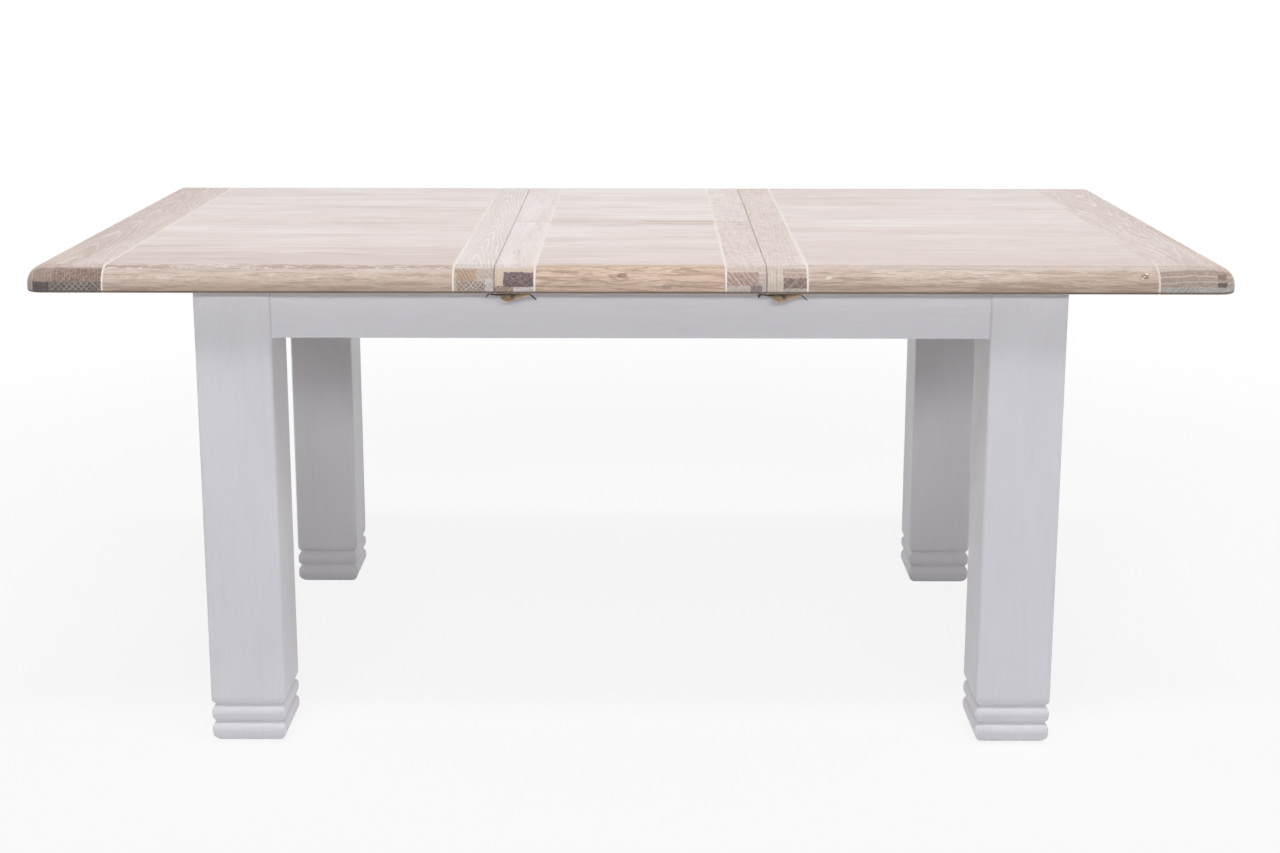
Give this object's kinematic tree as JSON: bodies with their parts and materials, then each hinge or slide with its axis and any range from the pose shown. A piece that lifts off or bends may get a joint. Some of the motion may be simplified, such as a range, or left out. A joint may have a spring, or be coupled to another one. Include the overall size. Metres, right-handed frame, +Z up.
{
  "type": "butterfly extension table",
  "caption": "Rectangular extension dining table on square painted legs with beaded feet; the limed oak top parts along its length and a folding leaf stows under it.",
  "frame": {"origin": "on the floor under the middle of the table", "axes": "+X along the table's length, -Y towards the front of the picture, +Z up"},
  "size_m": [1.799, 0.906, 0.766],
  "materials": {
    "limed_oak": "limed, matt lacquer",
    "painted_wood": "pale grey paint, satin",
    "frame_wood": "plain, unfinished",
    "zinc_steel": "zinc plated",
    "dark_steel": "dark, satin",
    "brass": "worn bright",
    "felt": "felt",
    "glide_plastic": "matt"
  },
  "bodies": {
    "base": {"front_left_leg": "painted_wood", "front_right_leg": "painted_wood", "back_left_leg": "painted_wood", "back_right_leg": "painted_wood", "front_apron": "painted_wood", "back_apron": "painted_wood", "left_apron": "painted_wood", "right_apron": "painted_wood", "corner_braces": "frame_wood", "brace_bolts": "zinc_steel", "brace_nuts": "zinc_steel", "foot_glides": "glide_plastic", "inner_bearers": "frame_wood", "outer_bearers": "frame_wood", "front_guide_rail": "frame_wood", "back_guide_rail": "frame_wood", "fore_cradle_rail": "frame_wood", "aft_cradle_rail": "frame_wood", "cradle_hangers": "frame_wood", "pivot_lugs": "dark_steel", "leaf_pads": "felt"},
    "left_half": {"left_end_board": "limed_oak", "left_field": "limed_oak", "left_inner_cleat": "limed_oak", "left_front_runner": "frame_wood", "left_back_runner": "frame_wood", "left_runner_screws": "zinc_steel", "left_keepers": "dark_steel"},
    "right_half": {"right_end_board": "limed_oak", "right_field": "limed_oak", "right_inner_cleat": "limed_oak", "right_front_runner": "frame_wood", "right_back_runner": "frame_wood", "right_runner_screws": "zinc_steel", "right_catch_bases": "dark_steel"},
    "fore_arm_pair": {"fore_arms": "dark_steel", "fore_shaft": "zinc_steel"},
    "aft_arm_pair": {"aft_arms": "dark_steel", "aft_shaft": "zinc_steel"},
    "back_wing": {"back_leaf_field": "limed_oak", "back_leaf_left_cleat": "limed_oak", "back_leaf_right_cleat": "limed_oak", "back_leaf_catch_base": "dark_steel", "back_leaf_keeper": "dark_steel", "back_hinge_cups": "brass", "leaf_brackets": "dark_steel", "bracket_pins": "zinc_steel"},
    "front_wing": {"front_leaf_field": "limed_oak", "front_leaf_left_cleat": "limed_oak", "front_leaf_right_cleat": "limed_oak", "front_leaf_catch_base": "dark_steel", "front_leaf_keeper": "dark_steel", "front_hinge_cups": "brass"},
    "fold_link": {"hinge_links": "zinc_steel"},
    "front_left_tongue": {"front_left_catch": "brass"},
    "back_left_tongue": {"back_left_catch": "brass"},
    "front_right_tongue": {"front_right_catch": "brass"},
    "back_right_tongue": {"back_right_catch": "brass"}
  },
  "joints": [
    {"name": "left_slide", "type": "slide", "parent": "base", "child": "left_half", "axis": [-1, 0, 0], "range_m": [0, 0.025]},
    {"name": "right_slide", "type": "slide", "parent": "base", "child": "right_half", "axis": [1, 0, 0], "range_m": [0, 0.025]},
    {"name": "leaf_stow", "type": "hinge", "parent": "base", "child": "fore_arm_pair", "pos_m": [0, -0.04098, 0.6254], "axis": [1, 0, 0], "range_deg": [0, 138.42]},
    {"name": "aft_swing", "type": "hinge", "parent": "base", "child": "aft_arm_pair", "pos_m": [0, 0.13902, 0.6254], "axis": [1, 0, 0], "range_deg": [0, 138.42]},
    {"name": "leaf_level", "type": "hinge", "parent": "fore_arm_pair", "child": "back_wing", "pos_m": [0, 0.06, 0.715], "axis": [-1, 0, 0], "range_deg": [0, 138.42]},
    {"name": "leaf_fold", "type": "hinge", "parent": "back_wing", "child": "front_wing", "pos_m": [0, 0, 0.7663], "axis": [-1, 0, 0], "range_deg": [0, 180]},
    {"name": "link_turn", "type": "hinge", "parent": "back_wing", "child": "fold_link", "pos_m": [0, 0, 0.7663], "axis": [-1, 0, 0], "range_deg": [0, 90]},
    {"name": "front_left_turn", "type": "hinge", "parent": "front_wing", "child": "front_left_tongue", "pos_m": [-0.1755, -0.441, 0.72], "axis": [0, 0, -1], "range_deg": [0, 180]},
    {"name": "back_left_turn", "type": "hinge", "parent": "back_wing", "child": "back_left_tongue", "pos_m": [-0.1755, 0.441, 0.72], "axis": [0, 0, 1], "range_deg": [0, 180]},
    {"name": "front_right_turn", "type": "hinge", "parent": "right_half", "child": "front_right_tongue", "pos_m": [0.2281, -0.441, 0.72], "axis": [0, 0, -1], "range_deg": [0, 180]},
    {"name": "back_right_turn", "type": "hinge", "parent": "right_half", "child": "back_right_tongue", "pos_m": [0.2281, 0.441, 0.72], "axis": [0, 0, 1], "range_deg": [0, 180]}
  ],
  "couplings": [
    {"joint": "aft_swing", "follows": "leaf_stow", "ratio": 1},
    {"joint": "leaf_level", "follows": "leaf_stow", "ratio": 1},
    {"joint": "leaf_fold", "follows": "leaf_stow", "ratio": 1.3004},
    {"joint": "link_turn", "follows": "leaf_stow", "ratio": 0.6502}
  ]
}
